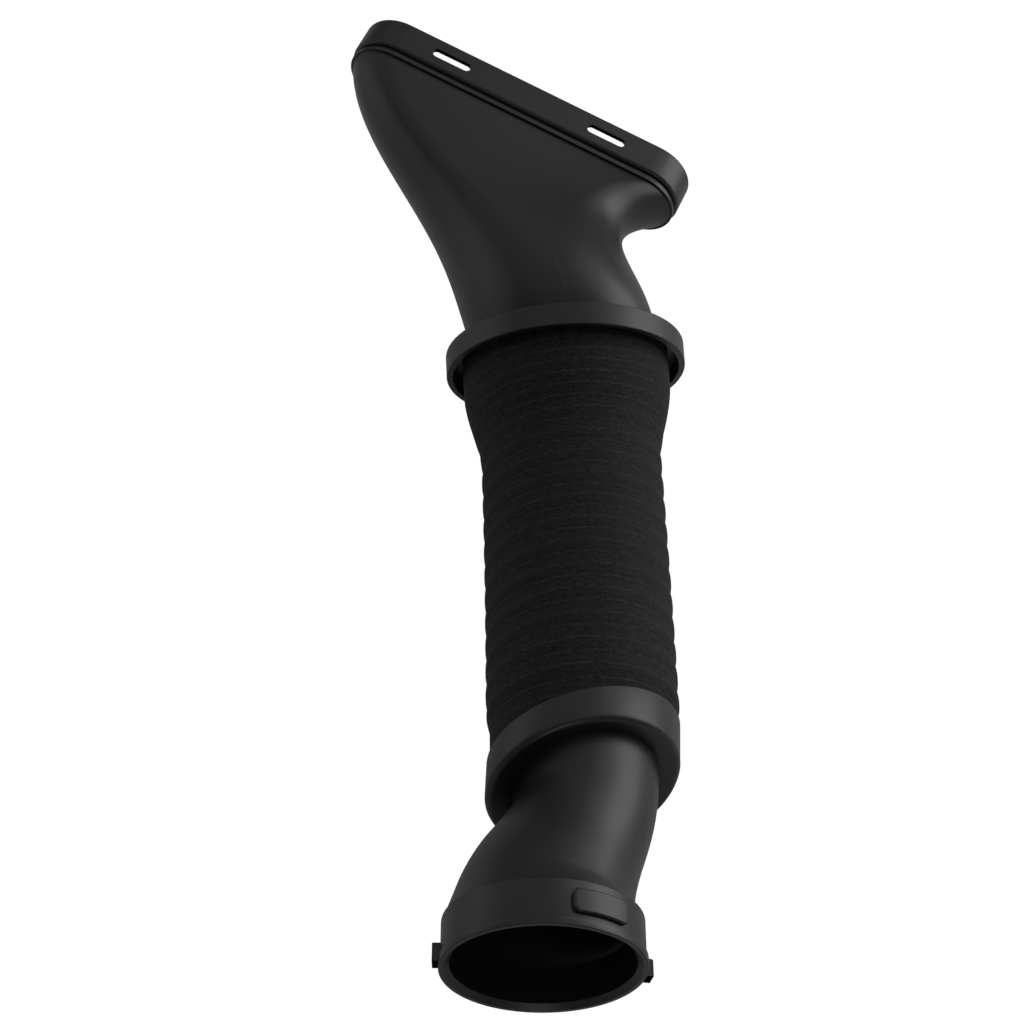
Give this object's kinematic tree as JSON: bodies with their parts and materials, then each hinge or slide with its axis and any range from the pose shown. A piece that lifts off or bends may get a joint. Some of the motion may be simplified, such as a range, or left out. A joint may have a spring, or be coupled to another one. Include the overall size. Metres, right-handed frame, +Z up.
{
  "type": "engine air intake duct",
  "caption": "Engine air intake duct: an oblong slotted funnel mouth, a rippled textile hose with a wire helix, and a bent neck that flares to a round outlet socket with hook lugs.",
  "frame": {"origin": "centre of the outlet socket where its round wall begins, just inside the lead-in", "axes": "+Y up the duct from the outlet to the inlet, along the outlet socket's axis; +Z up; +X to the right seen from the outlet"},
  "size_m": [0.1433, 0.4053, 0.1167],
  "materials": {
    "moulded_plastic": "satin moulded black",
    "hose_fabric": "coated black textile, finely ribbed"
  },
  "bodies": {
    "root": {"outlet_elbow": "moulded_plastic", "hose": "hose_fabric", "inlet_funnel": "moulded_plastic"}
  },
  "joints": []
}
